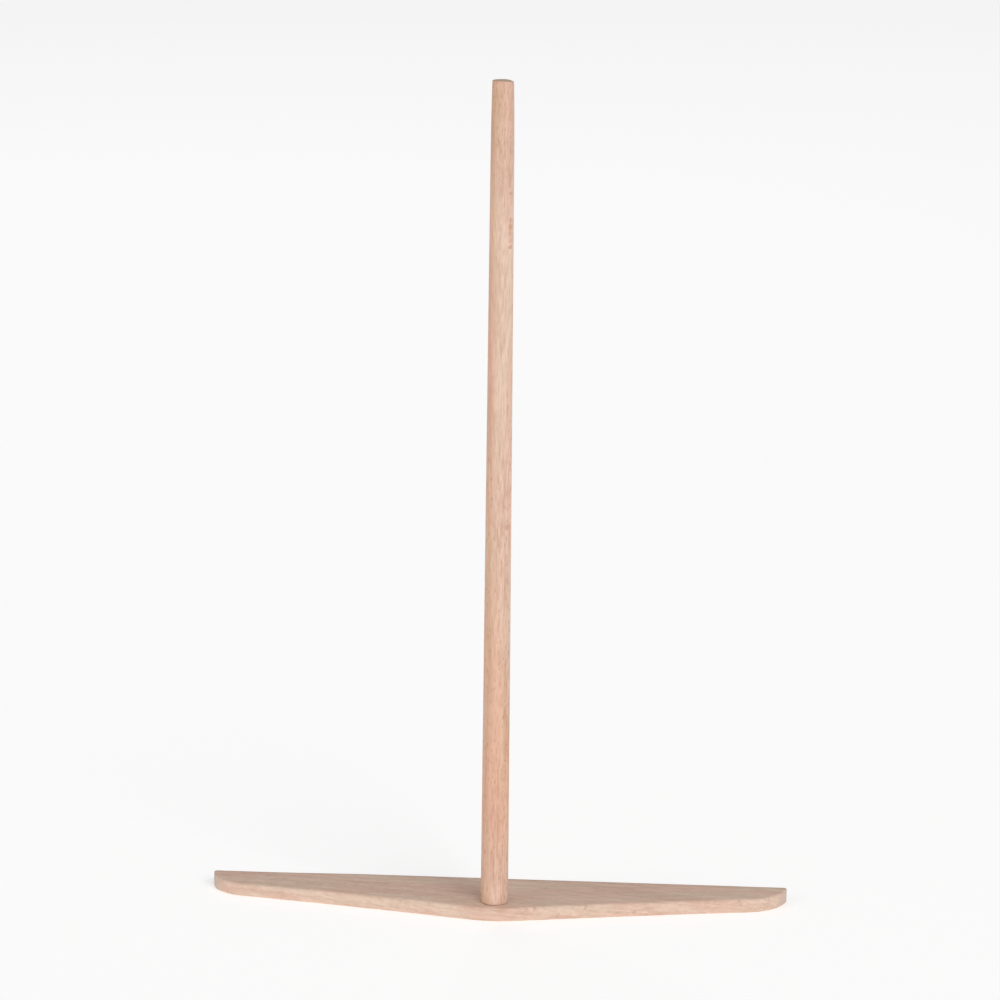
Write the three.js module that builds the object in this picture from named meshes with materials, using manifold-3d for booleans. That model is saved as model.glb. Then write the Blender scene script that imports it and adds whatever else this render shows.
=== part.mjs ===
// A wooden batter spreader: a slim turned handle stands on a flat, blunt-pointed blade.
// The handle's foot ends in a round tenon that goes right through the blade, and a thin
// wedge driven up into the tenon's saw kerf from below locks the joint.
//
// Millimetres, +Z up. The blade's underside lies on z = 0, and the origin is the middle of
// the rectangle that the blade's outline fits in. +X runs along the blade, and +Y points
// at its long straight working edge.

import * as THREE from "three";
import { mergeVertices } from "three/addons/utils/BufferGeometryUtils.js";
import Module from "manifold-3d";

const wasm = await Module();
wasm.setup();

// Blade
const bladeLength = 180;
const bladeThickness = 4.5;
const sharpDepth = 29.1; // from the working edge to where the lines of the flanks meet
const endDepth = 10.4; // from the working edge to the flanks, at the two ends
const endLean = 2; // how far the ends draw in between the working edge and the flanks
const pointRadius = 35; // rounding of the blunt point
const frontCornerRadius = 13; // the ends' corners on the pointed side
const backCornerRadius = 1; // the ends' corners on the working edge
const flankHollow = 0.5; // how far each flank dips inside a straight line
const bladeArris = 0.6; // rounding of all the edges

// Handle
const handleHeight = 253; // above the blade
const footRadius = 4.22; // where the handle meets the blade
const taperedRadius = 3.42; // what the taper alone would leave at the free end
const handleSwell = 0.06; // extra radius half way up
const tipLength = 25; // the last stretch, which draws in a little more
const tipNarrowing = 0.22; // how much radius that stretch loses
const rimRounding = 0.3; // of the free end
const handleToEdge = 22.2; // from the handle's axis to the working edge

// Joint
const glueLine = 0.1; // film of glue between two glued faces
const tenonRadius = 3;
const kerfDepth = 3.8; // up from the underside
const wedgeThickEnd = 1.1; // wedge thickness at the underside
const wedgeThinEnd = 0.4; // wedge thickness at its tip

// Fineness of the curves
const handleSides = 64;
const handleRings = 24;
const rimSteps = 3;
const arcSteps = 6;
const arrisSteps = 3;

const overrun = 1; // how far a cutting solid stands proud of what it cuts
const weldDistance = 1e-4; // vertices closer than this are one vertex

// A rounded corner stops short of where its sides' lines meet. So the corners on the working
// edge are drawn a little beyond the blade's length, and the blunt point beyond its depth.
const backCornerAngle = Math.atan2(endDepth, endLean);
const backCornerX = bladeLength / 2 + backCornerRadius * (1 / Math.tan(backCornerAngle / 2) - 1);
const frontCornerX = backCornerX - endLean;
const flankSlope = Math.atan2(sharpDepth - endDepth, frontCornerX);
const bladeDepth = sharpDepth - pointRadius * (1 / Math.cos(flankSlope) - 1);
const workingEdgeY = bladeDepth / 2;
const handleY = workingEdgeY - handleToEdge;
const topZ = bladeThickness + handleHeight;

// A closed three.js geometry as a manifold-3d solid.
function toSolid(geometry) {
  const bare = geometry.clone();
  bare.deleteAttribute("normal");
  bare.deleteAttribute("uv");
  const merged = mergeVertices(bare, weldDistance);
  return new wasm.Manifold(
    new wasm.Mesh({
      numProp: 3,
      vertProperties: merged.attributes.position.array,
      triVerts: new Uint32Array(merged.index.array),
    }),
  );
}

// A manifold-3d solid as a three.js geometry.
function toGeometry(solid) {
  const { vertProperties, triVerts } = solid.getMesh();
  const geometry = new THREE.BufferGeometry();
  geometry.setAttribute("position", new THREE.BufferAttribute(vertProperties, 3));
  geometry.setIndex(new THREE.BufferAttribute(triVerts, 1));
  geometry.computeVertexNormals();
  return geometry;
}

// A vertical cylinder on the handle's axis, from z = low to z = high.
function uprightCylinder(radius, low, high) {
  const geometry = new THREE.CylinderGeometry(radius, radius, high - low, handleSides);
  geometry.rotateX(Math.PI / 2);
  geometry.translate(0, handleY, (low + high) / 2);
  return geometry;
}

// A corner of the blade's outline. The side that leads up to it dips inwards by hollow.
function corner(x, y, radius, hollow) {
  return Object.assign(new THREE.Vector2(x, y), { radius, hollow });
}

// Where a corner's rounding starts and ends, between the directions to its two neighbours.
function roundingOf(sharp, before, after) {
  const toBefore = before.clone().sub(sharp).normalize();
  const toAfter = after.clone().sub(sharp).normalize();
  const halfAngle = Math.acos(toBefore.dot(toAfter)) / 2;
  const reach = sharp.radius / Math.tan(halfAngle);
  const bisector = toBefore.clone().add(toAfter).normalize();
  return {
    start: sharp.clone().addScaledVector(toBefore, reach),
    end: sharp.clone().addScaledVector(toAfter, reach),
    centre: sharp.clone().addScaledVector(bisector, sharp.radius / Math.sin(halfAngle)),
  };
}

// A side of the outline, from where it stands to a point, straight or slightly hollow.
function addSide(outline, from, to, hollow) {
  if (hollow === 0) {
    outline.lineTo(to.x, to.y);
    return;
  }
  const inward = new THREE.Vector2(from.y - to.y, to.x - from.x).normalize();
  const control = from.clone().add(to).divideScalar(2);
  control.addScaledVector(inward, 2 * hollow);
  outline.quadraticCurveTo(control.x, control.y, to.x, to.y);
}

// The blade seen from above, anticlockwise: a straight working edge, two short ends that
// round off into the flanks, and two long, slightly hollow flanks that meet in the point.
function bladeOutline() {
  const endY = workingEdgeY - endDepth;
  const corners = [
    corner(backCornerX, workingEdgeY, backCornerRadius, 0),
    corner(-backCornerX, workingEdgeY, backCornerRadius, 0),
    corner(-frontCornerX, endY, frontCornerRadius, 0),
    corner(0, workingEdgeY - sharpDepth, pointRadius, flankHollow),
    corner(frontCornerX, endY, frontCornerRadius, flankHollow),
  ];
  const roundings = corners.map((sharp, i) =>
    roundingOf(sharp, corners.at(i - 1), corners[(i + 1) % corners.length]),
  );

  const outline = new THREE.Shape();
  outline.moveTo(roundings.at(-1).end.x, roundings.at(-1).end.y);
  corners.forEach(({ radius, hollow }, i) => {
    const { start, end, centre } = roundings[i];
    addSide(outline, roundings.at(i - 1).end, start, hollow);
    const startAngle = start.clone().sub(centre).angle();
    const endAngle = end.clone().sub(centre).angle();
    outline.absarc(centre.x, centre.y, radius, startAngle, endAngle, false);
  });
  return outline;
}

function makeBlade() {
  const board = new THREE.ExtrudeGeometry(bladeOutline(), {
    depth: bladeThickness - 2 * bladeArris,
    curveSegments: arcSteps,
    bevelThickness: bladeArris,
    bevelSize: bladeArris,
    bevelOffset: -bladeArris,
    bevelSegments: arrisSteps,
  });
  board.translate(0, 0, bladeArris);
  const boreRadius = tenonRadius + glueLine;
  const bore = uprightCylinder(boreRadius, -overrun, bladeThickness + overrun);
  return toGeometry(toSolid(board).subtract(toSolid(bore)));
}

// The handle's radius at height z: a straight taper with a slight swell, and a last
// stretch that draws in towards the free end.
function handleRadius(z) {
  const share = (z - bladeThickness) / handleHeight;
  const taper = footRadius + (taperedRadius - footRadius) * share;
  const swell = handleSwell * 4 * share * (1 - share); // the parabola peaks at 1
  const intoTip = Math.max(0, (z - (topZ - tipLength)) / tipLength);
  return taper + swell - tipNarrowing * intoTip ** 2;
}

// The tenon's kerf, or the wedge that fills it: a tapering slice across the blade's grain,
// from z = bottom up to the kerf's end, and wider than the tenon.
function wedgeSlice(bottom, clearance) {
  const lean = (wedgeThickEnd - wedgeThinEnd) / 2 / kerfDepth;
  const halfAt = (z) => wedgeThickEnd / 2 - lean * z + clearance;
  const top = kerfDepth + clearance;
  const slice = new THREE.Shape([
    new THREE.Vector2(-halfAt(bottom), bottom),
    new THREE.Vector2(halfAt(bottom), bottom),
    new THREE.Vector2(halfAt(top), top),
    new THREE.Vector2(-halfAt(top), top),
  ]);
  const width = 2 * (tenonRadius + overrun);
  const geometry = new THREE.ExtrudeGeometry(slice, { depth: width, bevelEnabled: false });
  geometry.rotateX(Math.PI / 2);
  geometry.translate(0, handleY + width / 2, 0);
  return geometry;
}

function makeHandle() {
  const shoulderZ = bladeThickness + glueLine;
  const rimZ = topZ - rimRounding;
  const profile = [
    new THREE.Vector2(0, 0),
    new THREE.Vector2(tenonRadius, 0),
    new THREE.Vector2(tenonRadius, shoulderZ),
  ];
  for (let i = 0; i <= handleRings; i++) {
    const z = shoulderZ + ((rimZ - shoulderZ) * i) / handleRings;
    profile.push(new THREE.Vector2(handleRadius(z), z));
  }
  const faceRadius = handleRadius(rimZ) - rimRounding;
  for (let i = 1; i <= rimSteps; i++) {
    const angle = (Math.PI / 2) * (i / rimSteps);
    const x = faceRadius + rimRounding * Math.cos(angle);
    profile.push(new THREE.Vector2(x, rimZ + rimRounding * Math.sin(angle)));
  }
  profile.push(new THREE.Vector2(0, topZ));

  const turned = new THREE.LatheGeometry(profile, handleSides);
  turned.rotateX(Math.PI / 2);
  turned.translate(0, handleY, 0);
  const kerf = wedgeSlice(-overrun, glueLine);
  return toGeometry(toSolid(turned).subtract(toSolid(kerf)));
}

// The wedge, trimmed flush with the underside and with the tenon's round.
function makeWedge() {
  const tenonOutline = uprightCylinder(tenonRadius, -overrun, bladeThickness);
  return toGeometry(toSolid(wedgeSlice(0, 0)).intersect(toSolid(tenonOutline)));
}

// All the pieces are bare beech, which differs only in its tone.
function beech(name, geometry, color) {
  const material = new THREE.MeshStandardMaterial({ color, roughness: 0.6, metalness: 0 });
  const mesh = new THREE.Mesh(geometry, material);
  mesh.name = name;
  return mesh;
}

const spreader = new THREE.Group();
spreader.add(beech("blade", makeBlade(), "#dcc0ae"));
spreader.add(beech("handle", makeHandle(), "#e0bda3"));
spreader.add(beech("tenon_wedge", makeWedge(), "#c9a184"));

export default spreader;
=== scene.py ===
# A wooden T-shaped batter spreader in bare beech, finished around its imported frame: a flat
# blunt-pointed blade, a turned handle with its tenon, and the wedge in the tenon's kerf.
# Metres, in the frame's own axes: +Z up along the handle, +Y at the straight working edge.

import math

import bmesh
import bpy
import numpy as np
from mathutils import Matrix, Vector, geometry, noise


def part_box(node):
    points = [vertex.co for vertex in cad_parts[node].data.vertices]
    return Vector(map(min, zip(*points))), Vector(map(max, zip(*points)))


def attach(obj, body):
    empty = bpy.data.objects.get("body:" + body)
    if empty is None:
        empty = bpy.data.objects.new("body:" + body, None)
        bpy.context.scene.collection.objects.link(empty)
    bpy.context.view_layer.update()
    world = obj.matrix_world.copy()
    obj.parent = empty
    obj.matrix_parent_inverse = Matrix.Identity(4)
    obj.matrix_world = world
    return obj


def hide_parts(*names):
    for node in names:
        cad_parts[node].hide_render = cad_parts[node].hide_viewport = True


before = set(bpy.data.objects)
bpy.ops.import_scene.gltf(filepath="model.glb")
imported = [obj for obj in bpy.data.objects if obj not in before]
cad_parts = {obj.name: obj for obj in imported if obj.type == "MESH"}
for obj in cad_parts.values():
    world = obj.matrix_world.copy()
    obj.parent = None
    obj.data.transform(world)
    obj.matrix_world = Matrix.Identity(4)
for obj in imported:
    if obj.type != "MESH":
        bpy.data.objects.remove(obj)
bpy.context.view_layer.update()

MM = 0.001

# Blade. Its length, depth and thickness come from its node.
END_DEPTH = 10.4 * MM  # from the working edge to the flanks, at the two ends
LEFT_END_LEAN = 1.5 * MM  # how far the ends draw in between the working edge and the flanks
RIGHT_END_LEAN = 2.5 * MM
LEFT_CORNER_RADIUS = 12 * MM  # the ends' corners on the pointed side, rounded by hand
RIGHT_CORNER_RADIUS = 14 * MM
POINT_RADIUS = 35 * MM
BACK_CORNER_RADIUS = 1 * MM
FLANK_HOLLOW = 0.5 * MM
CRISP_ARRIS = 0.35 * MM  # the edges' rounding on the working edge and the ends
SOFT_ARRIS = 0.8 * MM  # and on the pointed side, which the hand rubs over
# How far forward an edge faces where its rounding starts to soften, and where it is softest:
# 0 faces along the blade, and 1 faces away from the working edge.
LEFT_SOFTENS_FROM, RIGHT_SOFTENS_FROM, SOFTEST_AT = 0.5, 0, 0.8
ARRIS_STEPS = 6
OUTLINE_STEP = 1.2 * MM
LATTICE_STEP = 2.5 * MM
BORE_SIDES = 48
HAND_SANDING = 0.04 * MM  # depth of the unevenness that sanding leaves
SANDING_LUMPS = 22 * MM  # how far apart that unevenness rises and falls
LEFT_END_WEAR = 0.3 * MM  # how much thinner than the rest the blade's left end is
WEAR_FROM, WEAR_TO = 40 * MM, 75 * MM  # where that starts and is complete, from the middle

# Handle. Its foot radius, height and place come from its node.
TAPERED_SHARE = 0.81  # the free end's radius over the foot's, by the taper alone
HANDLE_SWELL = 0.06 * MM
TIP_LENGTH = 25 * MM
TIP_NARROWING = 0.22 * MM
RIM_ROUNDING = 0.3 * MM
FOOT_ROUNDING = 0.25 * MM
END_WEAR = 0.45 * MM  # how far the free end is worn down on its right side
END_WEAR_REACH = 4 * MM  # below the end, where that fades out
HANDLE_SIDES = 128
HANDLE_RING_STEP = 1.5 * MM
ROUNDING_STEPS = 4  # of the foot and the rim
END_FACE_RINGS = (0.66, 0.33)  # shares of the flat end face's radius
TURNING = 0.035 * MM  # depth of the unevenness that turning and sanding leave
TURNING_RADIUS = 4 * MM  # roughly the handle's radius, to lay that unevenness out round it
TURNING_LUMPS = 5 * MM  # how far apart it rises and falls, round the handle
TURNING_STRETCH = 6  # how much farther apart it does so along the handle

# Joint. The tenon's radius and the kerf come from the wedge's node.
GLUE_LINE = 0.1 * MM
WEDGE_THIN_SHARE = 0.4 / 1.1  # the wedge's tip over its thick end
WEDGE_LEVELS = 8
WEDGE_ARC_STEPS = 8

# Meshing
SHARP_ABOVE = math.radians(35)  # an edge that bends more than this stays sharp
WELD_DISTANCE = 0.0001 * MM
FEWEST_ARC_STEPS = 6
SETTLING_ROUNDS = 20
INSIDE_ONLY = 1  # tells delaunay_2d_cdt to keep only the triangles inside the outline
SAME_POINT = 1e-9  # points closer than this are one point to it

blade_low, blade_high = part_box("blade")
handle_low, handle_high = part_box("handle")
wedge_low, wedge_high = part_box("tenon_wedge")
top_face_z = blade_high.z
handle_y = (handle_low.y + handle_high.y) / 2
foot_radius = (handle_high.x - handle_low.x) / 2
tenon_radius = (wedge_high.y - wedge_low.y) / 2
shoulder_z = top_face_z + GLUE_LINE


# ---- Mesh helpers

def mesh_piece(name, points, faces):
    """A smooth-shaded mesh object with sharp edges where it bends sharply."""
    mesh = bpy.data.meshes.new(name)
    mesh.from_pydata([tuple(p) for p in points], [], faces)
    work = bmesh.new()
    work.from_mesh(mesh)
    bmesh.ops.remove_doubles(work, verts=work.verts, dist=WELD_DISTANCE)
    bmesh.ops.recalc_face_normals(work, faces=work.faces)
    work.to_mesh(mesh)
    work.free()
    mesh.shade_smooth()
    mesh.set_sharp_from_angle(angle=SHARP_ABOVE)
    piece = bpy.data.objects.new(name, mesh)
    bpy.context.scene.collection.objects.link(piece)
    return piece


def band(first, second, count):
    """The quads between two closed rings of count vertices that start at these indices."""
    quads = []
    for i in range(count):
        j = (i + 1) % count
        quads.append((first + i, first + j, second + j, second + i))
    return quads


def loop(first, count):
    """The edges of a closed ring of count vertices that starts at this index."""
    return [(first + i, first + (i + 1) % count) for i in range(count)]


def sway(point, size):
    """Smooth noise from 0 to 1 at a point, with lumps about size across."""
    return 0.5 + 0.5 * noise.noise(Vector(point) / size)


# ---- Blade

def rounding(sharp, radius, before, after):
    """The points of a corner's arc, and the unit normals there, between two neighbours."""
    to_before = (before - sharp).normalized()
    to_after = (after - sharp).normalized()
    half_angle = math.acos(to_before.dot(to_after)) / 2
    centre = sharp + (to_before + to_after).normalized() * radius / math.sin(half_angle)
    start = sharp + to_before * radius / math.tan(half_angle) - centre
    end = sharp + to_after * radius / math.tan(half_angle) - centre
    turn = -start.angle_signed(end)
    steps = max(FEWEST_ARC_STEPS, round(abs(turn) * radius / OUTLINE_STEP))
    points, normals = [], []
    for i in range(steps + 1):
        normal = start.normalized().to_3d()
        normal.rotate(Matrix.Rotation(turn * i / steps, 3, "Z"))
        normals.append(normal.to_2d())
        points.append(centre + normal.to_2d() * radius)
    return points, normals


def side(start, end, hollow):
    """The points between two arcs, on a line that dips inwards by hollow, with normals."""
    along = end - start
    inward = Vector((-along.y, along.x)).normalized()
    steps = max(2, round(along.length / OUTLINE_STEP))
    points, normals = [], []
    for i in range(1, steps):
        share = i / steps
        dip = 4 * hollow * share * (1 - share)
        slope = 4 * hollow * (1 - 2 * share) / along.length
        points.append(start + along * share + inward * dip)
        normals.append((along.normalized() * slope - inward).normalized())
    return points, normals


def end_corners(lean):
    """How far out an end's two corners lie, at the working edge and at the flank.

    They are where the sides' lines meet, so the first lies a little beyond the blade."""
    angle = math.atan2(END_DEPTH, lean)
    back = blade_high.x + BACK_CORNER_RADIUS * (1 / math.tan(angle / 2) - 1)
    return back, back - lean


def blade_outline():
    """The blade seen from above, anticlockwise: points and outward normals."""
    edge_y = blade_high.y
    left_back, left_front = end_corners(LEFT_END_LEAN)
    right_back, right_front = end_corners(RIGHT_END_LEAN)
    # The blunt point is rounded, so the flanks' lines meet beyond it. How far beyond depends
    # on their slope, which depends on where they meet, so the two are settled in turn.
    sharp_y = blade_low.y
    for _ in range(SETTLING_ROUNDS):
        slope = math.atan2(edge_y - END_DEPTH - sharp_y, (left_front + right_front) / 2)
        sharp_y = blade_low.y - POINT_RADIUS * (1 / math.cos(slope) - 1)
    corners = [
        (Vector((right_back, edge_y)), BACK_CORNER_RADIUS, 0),
        (Vector((-left_back, edge_y)), BACK_CORNER_RADIUS, 0),
        (Vector((-left_front, edge_y - END_DEPTH)), LEFT_CORNER_RADIUS, 0),
        (Vector((0, sharp_y)), POINT_RADIUS, FLANK_HOLLOW),
        (Vector((right_front, edge_y - END_DEPTH)), RIGHT_CORNER_RADIUS, FLANK_HOLLOW),
    ]
    arcs = []
    for i, (sharp, radius, _) in enumerate(corners):
        after = corners[(i + 1) % len(corners)][0]
        arcs.append(rounding(sharp, radius, corners[i - 1][0], after))
    points, normals = [], []
    for i, (_, _, hollow) in enumerate(corners):
        side_points, side_normals = side(arcs[i - 1][0][-1], arcs[i][0][0], hollow)
        points += side_points + arcs[i][0]
        normals += side_normals + arcs[i][1]
    return np.array(points), np.array(normals)


def inside(points, outline, margin):
    """The points that lie inside a closed outline, at least margin away from its vertices."""
    start = outline
    end = np.roll(outline, -1, axis=0)
    kept = []
    for p in points:
        crosses = (start[:, 1] > p[1]) != (end[:, 1] > p[1])
        rise = np.where(end[:, 1] == start[:, 1], 1, end[:, 1] - start[:, 1])
        at = start[:, 0] + (p[1] - start[:, 1]) * (end[:, 0] - start[:, 0]) / rise
        odd = np.count_nonzero(crosses & (p[0] < at)) % 2 == 1
        near = np.hypot(*(outline - p).T).min() < margin
        kept.append(odd and not near)
    return points[np.array(kept)]


def face_lattice(outline):
    """Points spread over the blade's flat face, clear of its rim and of the bore."""
    xs = np.arange(blade_low.x, blade_high.x, LATTICE_STEP)
    ys = np.arange(blade_low.y, blade_high.y, LATTICE_STEP * math.sqrt(3) / 2)
    rows = [np.column_stack([xs + (k % 2) * LATTICE_STEP / 2, np.full(len(xs), y)])
            for k, y in enumerate(ys)]
    points = inside(np.vstack(rows), outline, LATTICE_STEP / 2)
    from_bore = np.hypot(points[:, 0], points[:, 1] - handle_y)
    return points[from_bore > tenon_radius + LATTICE_STEP]


def make_blade():
    """The board, with rounded edges and the tenon's bore."""
    outline, normals = blade_outline()
    count = len(outline)
    # The edges soften from an end to its flank, later round the left end than the right.
    forward = -normals[:, 1]
    softens_from = np.where(normals[:, 0] < 0, LEFT_SOFTENS_FROM, RIGHT_SOFTENS_FROM)
    softness = np.clip((forward - softens_from) / (SOFTEST_AT - softens_from), 0, 1)[:, None]
    arris = CRISP_ARRIS + (SOFT_ARRIS - CRISP_ARRIS) * softness
    low = []
    for turn in [math.pi / 2 * i / ARRIS_STEPS for i in range(ARRIS_STEPS + 1)]:
        ring = outline - normals * arris * (1 - math.sin(turn))
        heights = arris[:, 0] * (1 - math.cos(turn))
        low.append([(x, y, z) for (x, y), z in zip(ring, heights)])
    high = [[(x, y, top_face_z - z) for x, y, z in ring] for ring in reversed(low)]
    points = [point for ring in low + high for point in ring]
    faces = []
    for k in range(len(low + high) - 1):
        faces += band(k * count, (k + 1) * count, count)

    # The two flat faces, each with the mouth of the bore in it. The triangulation keeps to the
    # inside of the rim, but it fills the mouth too, so those triangles are left out.
    rim = outline - normals * arris
    angles = [2 * math.pi * i / BORE_SIDES for i in range(BORE_SIDES)]
    bore_radius = tenon_radius + GLUE_LINE
    mouth = [(bore_radius * math.cos(a), handle_y + bore_radius * math.sin(a)) for a in angles]
    flat = [Vector(p) for p in (*rim, *mouth, *face_lattice(rim))]
    loops = loop(0, count) + loop(count, BORE_SIDES)
    made = geometry.delaunay_2d_cdt(flat, loops, [], INSIDE_ONLY, SAME_POINT)
    spread, _, triangles = made[:3]
    bore = Vector((0, handle_y))
    solid = [t for t in triangles
             if (sum((spread[i] for i in t), Vector((0, 0))) / 3 - bore).length
             > bore_radius * math.cos(math.pi / BORE_SIDES)]
    for z in (0, top_face_z):
        base = len(points)
        points += [(p.x, p.y, z) for p in spread]
        faces += [tuple(base + i for i in t) for t in solid]
    base = len(points)
    points += [(x, y, 0) for x, y in mouth] + [(x, y, top_face_z) for x, y in mouth]
    faces += band(base, base + BORE_SIDES, BORE_SIDES)

    # Sanding leaves the top very slightly uneven, and has taken more off it at the left end.
    # The underside stays flat.
    worn = []
    for x, y, z in points:
        depth = HAND_SANDING * sway((x, y * 2, z), SANDING_LUMPS)
        share = min(max((-x - WEAR_FROM) / (WEAR_TO - WEAR_FROM), 0), 1)
        depth += LEFT_END_WEAR * share * share * (3 - 2 * share)
        worn.append((x, y, max(0, z - depth * z / top_face_z)))
    return mesh_piece("blade_body", worn, faces)


# ---- Handle

def handle_radius(z):
    """A straight taper with a slight swell, and a last stretch that draws in a little more."""
    share = (z - top_face_z) / (handle_high.z - top_face_z)
    taper = foot_radius * (1 + (TAPERED_SHARE - 1) * share)
    swell = HANDLE_SWELL * 4 * share * (1 - share)
    into_tip = max(0, (z - (handle_high.z - TIP_LENGTH)) / TIP_LENGTH)
    return taper + swell - TIP_NARROWING * into_tip ** 2


def handle_profile():
    """(radius, z) from the tenon's end up to the free end."""
    profile = [(tenon_radius - GLUE_LINE, 0), (tenon_radius, GLUE_LINE)]
    profile.append((tenon_radius, shoulder_z))
    foot = handle_radius(shoulder_z + FOOT_ROUNDING)
    for i in range(ROUNDING_STEPS + 1):
        turn = math.pi / 2 * i / ROUNDING_STEPS
        profile.append((foot - FOOT_ROUNDING * (1 - math.sin(turn)),
                        shoulder_z + FOOT_ROUNDING * (1 - math.cos(turn))))
    body_low = shoulder_z + FOOT_ROUNDING
    body_high = handle_high.z - RIM_ROUNDING
    rings = round((body_high - body_low) / HANDLE_RING_STEP)
    for i in range(1, rings + 1):
        z = body_low + (body_high - body_low) * i / rings
        profile.append((handle_radius(z), z))
    face = profile[-1][0] - RIM_ROUNDING
    for i in range(1, ROUNDING_STEPS + 1):
        turn = math.pi / 2 * i / ROUNDING_STEPS
        profile.append((face + RIM_ROUNDING * math.cos(turn),
                        body_high + RIM_ROUNDING * math.sin(turn)))
    profile += [(face * share, handle_high.z) for share in END_FACE_RINGS]
    return profile


def kerf_cutter():
    """The space of the saw kerf in the tenon, as a mesh to cut with."""
    wide = 2 * tenon_radius
    top = wedge_high.z + GLUE_LINE
    low_half = wedge_half(-wide) + GLUE_LINE
    high_half = wedge_half(top) + GLUE_LINE
    section = [(-low_half, -wide), (low_half, -wide), (high_half, top), (-high_half, top)]
    points = [(x, handle_y + s * wide, z) for s in (-1, 1) for x, z in section]
    faces = [(3, 2, 1, 0), (4, 5, 6, 7), *band(0, 4, 4)]
    return mesh_piece("kerf", points, faces)


def make_handle():
    """The turned stick with its tenon and kerf.

    The tenon is true. The rest is a little uneven, and the free end is worn on its right."""
    points, faces = [], []
    for radius, z in handle_profile():
        for i in range(HANDLE_SIDES):
            turn = 2 * math.pi * i / HANDLE_SIDES
            way = Vector((math.cos(turn), math.sin(turn)))
            place = (way.x * TURNING_RADIUS, way.y * TURNING_RADIUS, z / TURNING_STRETCH)
            depth = TURNING * sway(place, TURNING_LUMPS)
            if z <= shoulder_z:
                depth = 0
            across = way * (radius - depth)
            worn = END_WEAR * (max(across.x, 0) / handle_radius(handle_high.z)) ** 2
            worn *= max(0, 1 - (handle_high.z - z) / END_WEAR_REACH)
            points.append((across.x, handle_y + across.y, z - worn))
    rings = len(points) // HANDLE_SIDES
    for k in range(rings - 1):
        faces += band(k * HANDLE_SIDES, (k + 1) * HANDLE_SIDES, HANDLE_SIDES)
    for ring, z in ((0, 0), (rings - 1, handle_high.z)):
        points.append((0, handle_y, z))
        for i in range(HANDLE_SIDES):
            j = (i + 1) % HANDLE_SIDES
            first = ring * HANDLE_SIDES
            faces.append((first + i, first + j, len(points) - 1))
    turned = mesh_piece("handle_body", points, faces)
    return cut(turned, kerf_cutter())


def cut(piece, cutter):
    """Takes the cutter's space out of the piece, and removes the cutter."""
    taken = piece.modifiers.new("kerf", "BOOLEAN")
    taken.operation = "DIFFERENCE"
    taken.solver = "EXACT"
    taken.object = cutter
    depsgraph = bpy.context.evaluated_depsgraph_get()
    made = bpy.data.meshes.new_from_object(piece.evaluated_get(depsgraph))
    piece.modifiers.clear()
    piece.data = made
    made.shade_smooth()
    made.set_sharp_from_angle(angle=SHARP_ABOVE)
    bpy.data.objects.remove(cutter)
    return piece


# ---- Wedge

def wedge_half(z):
    """Half the wedge's thickness at height z, thick at the underside and thin at its tip."""
    share = z / wedge_high.z
    return wedge_high.x * (1 - (1 - WEDGE_THIN_SHARE) * share)


def make_wedge():
    """A thin wedge that fills the kerf across the tenon and ends flush with its round."""
    points, faces = [], []
    for level in range(WEDGE_LEVELS + 1):
        z = wedge_high.z * level / WEDGE_LEVELS
        half = wedge_half(z)
        reach = math.asin(half / tenon_radius)
        for end in (0, math.pi):
            for i in range(WEDGE_ARC_STEPS + 1):
                turn = end + math.pi / 2 - reach + 2 * reach * i / WEDGE_ARC_STEPS
                points.append((tenon_radius * math.cos(turn),
                               handle_y + tenon_radius * math.sin(turn), z))
    count = 2 * (WEDGE_ARC_STEPS + 1)
    for k in range(WEDGE_LEVELS):
        faces += band(k * count, (k + 1) * count, count)
    faces.append(tuple(range(count)))
    faces.append(tuple(range(len(points) - count, len(points))))
    return mesh_piece("wedge_body", points, faces)


# ---- Beech

BOW_MIDDLE = 130.0  # how far along the grain the bow has its middle, in millimetres
SEED_STEP = 137.0  # how far apart in the tree two neighbouring seeds lie, in millimetres
PALE_PINK, DEEP_PINK = (0.83, 0.595, 0.485, 1), (0.63, 0.405, 0.305, 1)
PALE_STRAW, DEEP_STRAW = (0.81, 0.625, 0.50, 1), (0.63, 0.44, 0.33, 1)
PALE_END_GRAIN, DEEP_END_GRAIN = (0.70, 0.595, 0.52, 1), (0.49, 0.40, 0.335, 1)
RAY_BROWN = (0.50, 0.28, 0.18, 1)
FLECK_BROWN = (0.62, 0.32, 0.20, 1)
FLECK_WANDER = 0.9 * MM  # between the farthest that a fleck's outline wanders, in and out

# The handle's large ray flecks: height above the blade, length, width, and how strongly they
# show. They follow a line that winds slowly round the handle.
RAY_FLECKS = [
    (220 * MM, 1.4 * MM, 1.6 * MM, 0.8),
    (217 * MM, 1.3 * MM, 1.2 * MM, 0.5),
    (212 * MM, 1.8 * MM, 2.2 * MM, 0.65),
    (210 * MM, 2.6 * MM, 2.2 * MM, 0.9),
    (208 * MM, 2.2 * MM, 2.0 * MM, 0.55),
    (206 * MM, 2.2 * MM, 1.9 * MM, 0.5),
    (204 * MM, 1.5 * MM, 2.1 * MM, 0.9),
    (130 * MM, 1.0 * MM, 0.9 * MM, 0.7),
    (119 * MM, 2.1 * MM, 1.8 * MM, 0.9),
    (107.5 * MM, 1.0 * MM, 0.9 * MM, 0.6),
    (97.5 * MM, 0.9 * MM, 0.8 * MM, 0.6),
    (38 * MM, 0.9 * MM, 0.8 * MM, 0.6),
    (19 * MM, 1.2 * MM, 1.1 * MM, 0.7),
]
FLECKS_TURN_FROM = 35  # the line's azimuth at the blade, in degrees from the front to the right
FLECKS_TURN_TO = 55  # and at the free end


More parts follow.
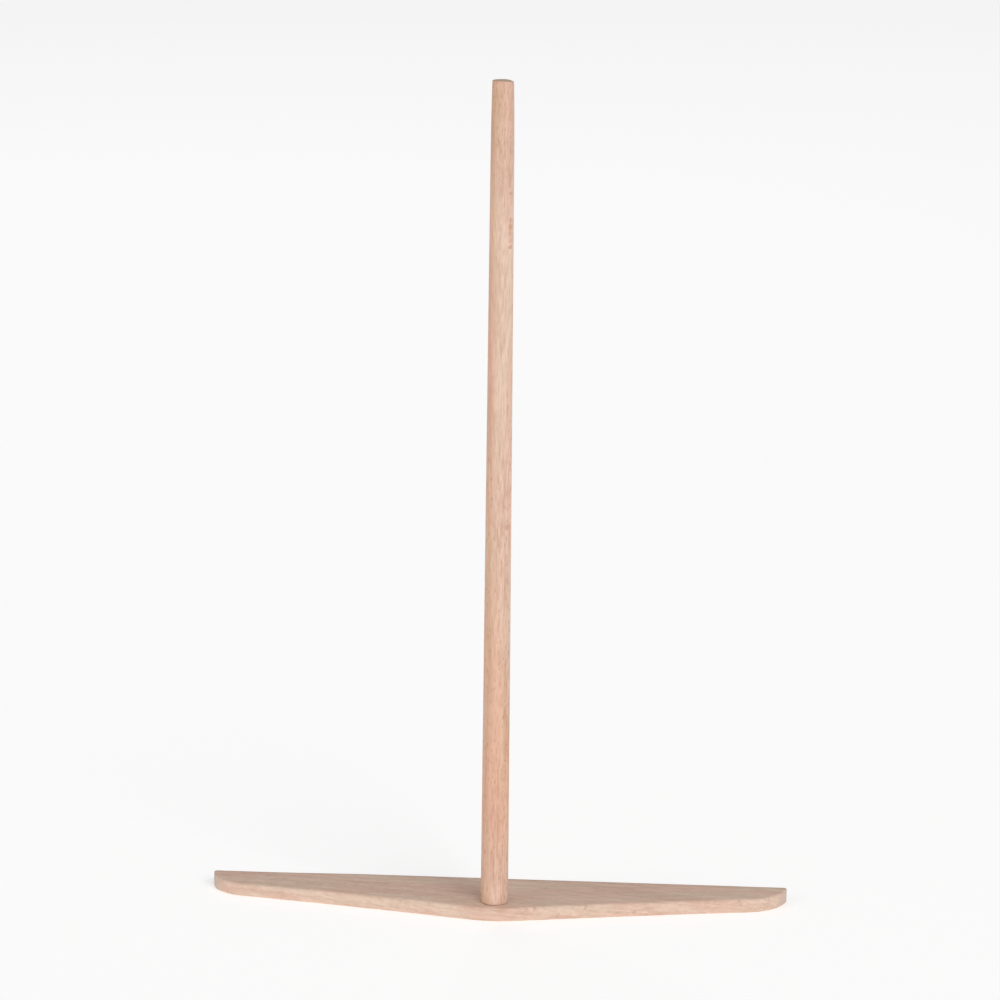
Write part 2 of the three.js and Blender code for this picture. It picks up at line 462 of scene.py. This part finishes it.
class Shading:
    """Builds the nodes of one material or world.

    node returns the node it made, and the other calls return the socket with their result."""

    def __init__(self, owner):
        self.owner = owner
        self.owner.use_nodes = True
        self.tree = self.owner.node_tree
        self.tree.nodes.clear()

    def node(self, kind, inputs, **settings):
        made = self.tree.nodes.new(kind)
        for key, value in settings.items():
            setattr(made, key, value)
        for key, value in inputs.items():
            if isinstance(value, bpy.types.NodeSocket):
                self.tree.links.new(value, made.inputs[key])
            else:
                made.inputs[key].default_value = value
        return made

    def math(self, operation, a, b=0.0, clamp=False):
        made = self.node("ShaderNodeMath", {0: a, 1: b}, operation=operation, use_clamp=clamp)
        return made.outputs[0]

    def vector(self, operation, a, b):
        made = self.node("ShaderNodeVectorMath", {0: a, 1: b}, operation=operation)
        return made.outputs["Value" if operation in ("DOT_PRODUCT", "LENGTH") else "Vector"]

    def noise(self, vector, detail=2.0, roughness=0.5, output="Fac"):
        inputs = {"Vector": vector, "Scale": 1.0, "Detail": detail, "Roughness": roughness}
        return self.node("ShaderNodeTexNoise", inputs).outputs[output]

    def spread(self, value, low, high, out_low=0.0, out_high=1.0):
        """value from low to high, mapped smoothly from out_low to out_high."""
        inputs = {"Value": value, "From Min": low, "From Max": high,
                  "To Min": out_low, "To Max": out_high}
        made = self.node("ShaderNodeMapRange", inputs, interpolation_type="SMOOTHSTEP")
        return made.outputs["Result"]

    def mix(self, share, a, b):
        made = self.node("ShaderNodeMix", {0: share, 6: a, 7: b}, data_type="RGBA")
        return made.outputs[2]

    def tint(self, colour, by):
        inputs = {0: 1.0, 6: colour, 7: by}
        made = self.node("ShaderNodeMix", inputs, data_type="RGBA", blend_type="MULTIPLY")
        return made.outputs[2]


def beech(s, grain, radial, pith, ring_width, bow, seed, figure=1.0):
    """Beech as a solid, on the nodes of s. Returns its colour, relief and roughness.

    grain and radial are directions in the part, the second one away from the tree's middle,
    which lies pith millimetres off. The rings are ring_width apart on average, and bow bends
    them along the grain. seed says which part of the tree it is. figure, a number or a
    socket, says how strongly its streaks show."""
    grain = Vector(grain).normalized()
    radial = Vector(radial)
    radial = (radial - grain * radial.dot(grain)).normalized()
    to_log = Matrix((radial, grain.cross(radial), grain))
    place = s.node("ShaderNodeTexCoord", {}).outputs["Object"]
    log = s.node("ShaderNodeMapping", {
        "Vector": place,
        "Location": (pith, 0, 0),
        "Rotation": to_log.to_euler(),
        "Scale": (1000, 1000, 1000),
    }).outputs["Vector"]

    # The tree was not quite straight, and its fibres wander a little.
    height = s.node("ShaderNodeSeparateXYZ", {"Vector": log}).outputs["Z"]
    bend = s.math("MULTIPLY", s.math("POWER", s.math("ADD", height, -BOW_MIDDLE), 2.0), bow)
    bend = s.node("ShaderNodeCombineXYZ", {"X": bend, "Z": seed * SEED_STEP}).outputs["Vector"]
    log = s.vector("ADD", log, bend)
    wander = s.noise(s.vector("MULTIPLY", log, (0.06, 0.06, 0.02)), 2.0, output="Color")
    wander = s.vector("SUBTRACT", wander, (0.5, 0.5, 0.5))
    bent = s.vector("ADD", log, s.vector("MULTIPLY", wander, (2.4, 2.4, 0)))

    # Growth rings of uneven width, each darker towards its end.
    from_pith = s.vector("LENGTH", s.vector("MULTIPLY", bent, (1, 1, 0)), (0, 0, 0))
    uneven = s.noise(s.vector("MULTIPLY", bent, (0.35, 0.02, 0.004)), 1.0)
    rings = s.math("ADD", s.math("DIVIDE", from_pith, ring_width), s.math("MULTIPLY", uneven, 3.0))
    ring = s.math("FRACT", rings)
    late = s.math("MULTIPLY", s.spread(ring, 0.3, 0.9), s.spread(ring, 1.0, 0.92))

    # Streaks along the fibres, from broad to hair-fine.
    broad = s.noise(s.vector("MULTIPLY", bent, (0.55, 0.55, 0.02)), 2.0)
    mottle = s.noise(s.vector("MULTIPLY", bent, (1.3, 1.3, 0.22)), 2.0)
    fine = s.noise(s.vector("MULTIPLY", bent, (2.4, 2.4, 0.2)), 3.0, 0.6)
    hair = s.noise(s.vector("MULTIPLY", bent, (9, 9, 0.7)), 2.0, 0.6)

    # Rays: thin radial sheets of cells, which show as short dark dashes along the grain.
    cells = s.vector("MULTIPLY", bent, (1 / 9, 1 / 0.7, 1 / 2.4))
    sheets = s.node("ShaderNodeTexVoronoi", {"Vector": cells, "Scale": 1.0})
    picked = s.node("ShaderNodeSeparateColor", {"Color": sheets.outputs["Color"]})
    rays = s.math("MULTIPLY", s.spread(sheets.outputs["Distance"], 0.36, 0.16),
                  s.spread(picked.outputs[0], 0.3, 0.9))

    # Slow drifts of tone between pink and straw.
    drift = s.noise(s.vector("MULTIPLY", log, (0.2, 0.2, 0.012)), 2.0)

    streaks = 0.0
    for streak, amount in ((broad, 0.9), (mottle, 1.0), (fine, 1.2), (hair, 0.5)):
        streak = s.math("MULTIPLY", s.math("SUBTRACT", streak, 0.5), amount)
        streaks = s.math("ADD", streaks, streak)
    depth = s.math("ADD", s.math("MULTIPLY", late, 0.24), s.math("MULTIPLY", streaks, figure))
    depth = s.math("ADD", depth, 0.34, clamp=True)
    pink = s.mix(depth, PALE_PINK, DEEP_PINK)
    straw = s.mix(depth, PALE_STRAW, DEEP_STRAW)
    colour = s.mix(s.spread(drift, 0.36, 0.64), pink, straw)
    colour = s.mix(s.math("MULTIPLY", rays, 0.4), colour, RAY_BROWN)

    # Where the surface crosses the fibres it shows end grain, which drinks the light.
    normal = s.node("ShaderNodeNewGeometry", {}).outputs["Normal"]
    across = s.math("ABSOLUTE", s.vector("DOT_PRODUCT", normal, tuple(grain)))
    end = s.spread(across, 0.68, 1.0)
    pores = s.noise(s.vector("MULTIPLY", bent, (7, 7, 1)), 3.0, 0.7)
    end_colour = s.mix(pores, PALE_END_GRAIN, DEEP_END_GRAIN)
    colour = s.mix(s.math("MULTIPLY", end, 0.8), colour, end_colour)

    relief = s.math("ADD", s.math("MULTIPLY", fine, 0.6), s.math("MULTIPLY", hair, 0.6))
    relief = s.math("SUBTRACT", relief, s.math("MULTIPLY", rays, 0.15))
    rough = s.math("ADD", s.spread(fine, 0.3, 0.7, 0.54, 0.68), s.math("MULTIPLY", end, 0.18))
    return colour, relief, rough


def bare_wood(s, colour, relief, rough):
    """Ends the material's nodes: unvarnished wood of this colour, relief and roughness."""
    bump = s.node("ShaderNodeBump", {"Strength": 0.5, "Distance": 0.05 * MM, "Height": relief})
    shader = s.node("ShaderNodeBsdfPrincipled", {
        "Base Color": colour,
        "Roughness": rough,
        "Normal": bump.outputs["Normal"],
        "IOR": 1.45,
        "Specular IOR Level": 0.35,
    })
    s.node("ShaderNodeOutputMaterial", {"Surface": shader.outputs["BSDF"]})
    return s.owner


def add_flecks(s, colour, flecks):
    """The colour with ragged red-brown flecks, each given by its middle, size and strength."""
    place = s.node("ShaderNodeTexCoord", {}).outputs["Object"]
    ragged = s.noise(s.vector("MULTIPLY", place, (1600, 1600, 900)), 2.0, output="Color")
    ragged = s.vector("SUBTRACT", ragged, (0.5, 0.5, 0.5))
    ragged = s.vector("MULTIPLY", ragged, (FLECK_WANDER, FLECK_WANDER, FLECK_WANDER))
    place = s.vector("ADD", place, ragged)
    shown = 0.0
    for middle, size, strength in flecks:
        offset = s.vector("SUBTRACT", place, middle)
        offset = s.vector("DIVIDE", offset, tuple(extent / 2 for extent in size))
        reach = s.vector("LENGTH", offset, (0, 0, 0))
        shown = s.math("MAXIMUM", shown, s.spread(reach, 1.15, 0.45, 0.0, strength))
    return s.mix(s.math("MULTIPLY", shown, 0.8), colour, FLECK_BROWN)


def blade_wood():
    s = Shading(bpy.data.materials.new("beech_blade"))
    colour, relief, rough = beech(s, (1, 0.01, -0.09), (0.09, 0.34, 1), 60, 2.3, 0, 1)

    # Painted shade: the colour darkens a little towards the working edge.
    place = s.node("ShaderNodeTexCoord", {}).outputs["Object"]
    depth = s.node("ShaderNodeSeparateXYZ", {"Vector": place}).outputs["Y"]
    painted_edge_shade = s.spread(depth, blade_high.y - 1.8 * MM, blade_high.y - 0.4 * MM)
    colour = s.mix(painted_edge_shade, colour, s.tint(colour, (0.86, 0.85, 0.84, 1)))

    # A short reddish streak on the blunt point's upper edge, below the handle's foot.
    middle = (2.9 * MM, blade_low.y + 0.5 * MM, top_face_z - 0.4 * MM)
    colour = add_flecks(s, colour, [(middle, (5.5 * MM, 1.6 * MM, 1.5 * MM), 0.55)])
    return bare_wood(s, colour, relief, rough)


def handle_wood():
    s = Shading(bpy.data.materials.new("beech_handle"))
    place = s.node("ShaderNodeTexCoord", {}).outputs["Object"]
    split = s.node("ShaderNodeSeparateXYZ", {"Vector": place})
    across, height = split.outputs["X"], split.outputs["Z"]

    # The figure is calm on the left, and lively on the right.
    figure = s.spread(across, -0.6 * foot_radius, 0.3 * foot_radius, 0.9, 1.7)
    grain, radial = (0, 0.03, 1), (0.07, -1, 0)
    colour, relief, rough = beech(s, grain, radial, 30, 1.5, 0.00023, 2, figure)
    colour = s.tint(colour, (1.0, 0.955, 0.935, 1))

    # The wood is palest half way up. Below that it is warmer, except at the foot. The border
    # leans: it lies higher up on the left side than on the right, by 7 times the width.
    tall = handle_high.z
    leaning = s.math("ADD", height, s.math("MULTIPLY", across, 7.0))
    low = s.spread(leaning, 0.54 * tall, 0.25 * tall)
    low = s.math("MULTIPLY", low, s.spread(height, 0, 0.16 * tall))

    # The whole left side is tinted warmer and darker as painted shade, and the colour darkens
    # towards the tip.
    painted_left_shade = s.spread(across, 0.1 * foot_radius, -0.7 * foot_radius, 0, 0.75)
    # One warm tint serves both the lower band's tone and the painted shade on the left side.
    warm_tone_and_painted_shade = s.tint(colour, (0.98, 0.86, 0.775, 1))
    colour = s.mix(s.math("MAXIMUM", low, painted_left_shade), colour, warm_tone_and_painted_shade)
    tip = s.spread(height, 0.84 * tall, 0.97 * tall)
    colour = s.mix(tip, colour, s.tint(colour, (0.91, 0.865, 0.82, 1)))

    # Large ray flecks, all on the side where the saw ran along the rays.
    flecks = []
    for above, long, wide, strength in RAY_FLECKS:
        z = top_face_z + above
        share = above / (handle_high.z - top_face_z)
        azimuth = FLECKS_TURN_FROM + (FLECKS_TURN_TO - FLECKS_TURN_FROM) * share
        way = outward(azimuth, 0) * handle_radius(z)
        flecks.append(((way.x, handle_y + way.y, z), (wide, wide, long), strength))
    return bare_wood(s, add_flecks(s, colour, flecks), relief, rough)


def wedge_wood():
    s = Shading(bpy.data.materials.new("beech_wedge"))
    colour, relief, rough = beech(s, (0, 0, 1), (1, 0, 0), 40, 2.0, 0, 3)
    return bare_wood(s, s.tint(colour, (0.9, 0.84, 0.8, 1)), relief, rough)


def finish_piece(piece, node, material):
    """Puts a piece in the frame, in the place of its CAD node."""
    piece.data.materials.append(material)
    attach(piece, "root")
    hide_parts(node)


# ---- Studio

VIEW_AZIMUTH = 3.8
VIEW_ELEVATION = 12.89
VIEW_ROLL = 0.63
VIEW_DISTANCE = 1.118
VIEW_TARGET = Vector((0.4 * MM, handle_y, 131.34 * MM))
LENS = 133.96
SENSOR_WIDTH = 36
LIGHT_TARGET = Vector((0, 0, 120 * MM))
FLOOR_Z = -0.02 * MM
FLOOR_REACH = 8  # from the object to the floor's edges
FLOOR_WHITE = 0.9
FLOOR_GLOW = 0.36  # keeps the floor near white under light that suits the wood
FAR_FLOOR_GLOW = 0.44  # far behind the object, where less of that light reaches
GLOW_FROM, GLOW_TO = 0.3, 3.5  # how far behind the object the one turns into the other
SKY_FRONT = 0.92  # strength in front of the object
SKY_BACK = 0.62  # and behind it
SKY_TOP_SHARE = 0.45  # strength straight above over strength at the horizon


def outward(azimuth, elevation):
    """The direction from the object towards that azimuth and elevation, in degrees."""
    a, e = math.radians(azimuth), math.radians(elevation)
    return Vector((math.sin(a) * math.cos(e), -math.cos(a) * math.cos(e), math.sin(e)))


def make_camera():
    data = bpy.data.cameras.new("camera")
    data.lens = LENS
    data.sensor_width = SENSOR_WIDTH
    camera = bpy.data.objects.new("camera", data)
    back = outward(VIEW_AZIMUTH, VIEW_ELEVATION)
    camera.location = VIEW_TARGET + back * VIEW_DISTANCE
    turn = (-back).to_track_quat("-Z", "Y").to_matrix()
    turn = turn @ Matrix.Rotation(math.radians(VIEW_ROLL), 3, "Z")
    camera.rotation_euler = turn.to_euler()
    bpy.context.scene.collection.objects.link(camera)
    bpy.context.scene.camera = camera


def make_light(name, azimuth, elevation, distance, size, power):
    """A round soft light, given by where it stands, its width and its watts."""
    data = bpy.data.lights.new(name, "AREA")
    data.shape = "DISK"
    data.size = size
    data.energy = power
    light = bpy.data.objects.new(name, data)
    back = outward(azimuth, elevation)
    light.location = LIGHT_TARGET + back * distance
    light.rotation_euler = (-back).to_track_quat("-Z", "Y").to_euler()
    bpy.context.scene.collection.objects.link(light)


def make_floor():
    mesh = bpy.data.meshes.new("floor")
    corners = [(x * FLOOR_REACH, y * FLOOR_REACH, FLOOR_Z)
               for x, y in ((-1, -1), (1, -1), (1, 1), (-1, 1))]
    mesh.from_pydata(corners, [], [(0, 1, 2, 3)])
    floor = bpy.data.objects.new("floor", mesh)
    bpy.context.scene.collection.objects.link(floor)
    s = Shading(bpy.data.materials.new("floor"))
    place = s.node("ShaderNodeTexCoord", {}).outputs["Object"]
    away = s.node("ShaderNodeSeparateXYZ", {"Vector": place}).outputs["Y"]
    glow = s.spread(away, GLOW_FROM, GLOW_TO, FLOOR_GLOW, FAR_FLOOR_GLOW)
    shader = s.node("ShaderNodeBsdfPrincipled", {
        "Base Color": (FLOOR_WHITE, FLOOR_WHITE, FLOOR_WHITE, 1),
        "Roughness": 0.9,
        "Specular IOR Level": 0.0,
        "Emission Color": (1, 1, 1, 1),
        "Emission Strength": glow,
    })
    s.node("ShaderNodeOutputMaterial", {"Surface": shader.outputs["BSDF"]})
    mesh.materials.append(s.owner)


def make_sky():
    """Soft light from all round, strongest from the front and from low down."""
    s = Shading(bpy.data.worlds.new("studio"))
    way = s.node("ShaderNodeTexCoord", {}).outputs["Generated"]
    split = s.node("ShaderNodeSeparateXYZ", {"Vector": way})
    across = s.node("ShaderNodeMapRange", {
        "Value": split.outputs["Y"],
        "From Min": 1.0,
        "From Max": -1.0,
        "To Min": SKY_BACK,
        "To Max": SKY_FRONT,
    })
    upward = s.node("ShaderNodeMapRange", {
        "Value": split.outputs["Z"],
        "From Min": 0.0,
        "From Max": 1.0,
        "To Min": 1.0,
        "To Max": SKY_TOP_SHARE,
    })
    strength = s.math("MULTIPLY", across.outputs["Result"], upward.outputs["Result"])
    background = s.node("ShaderNodeBackground", {"Strength": strength})
    s.node("ShaderNodeOutputWorld", {"Surface": background.outputs["Background"]})
    bpy.context.scene.world = s.owner


make_camera()
make_floor()
make_sky()
make_light("key", azimuth=36, elevation=35, distance=8.0, size=5.0, power=216)
make_light("fill", azimuth=-50, elevation=22, distance=8.0, size=5.2, power=76)
make_light("back", azimuth=-160, elevation=52, distance=2.5, size=1.5, power=5)
# Colours come out as they are, without a film's curve.
bpy.context.scene.view_settings.view_transform = "Standard"

finish_piece(make_blade(), "blade", blade_wood())
finish_piece(make_handle(), "handle", handle_wood())
finish_piece(make_wedge(), "tenon_wedge", wedge_wood())
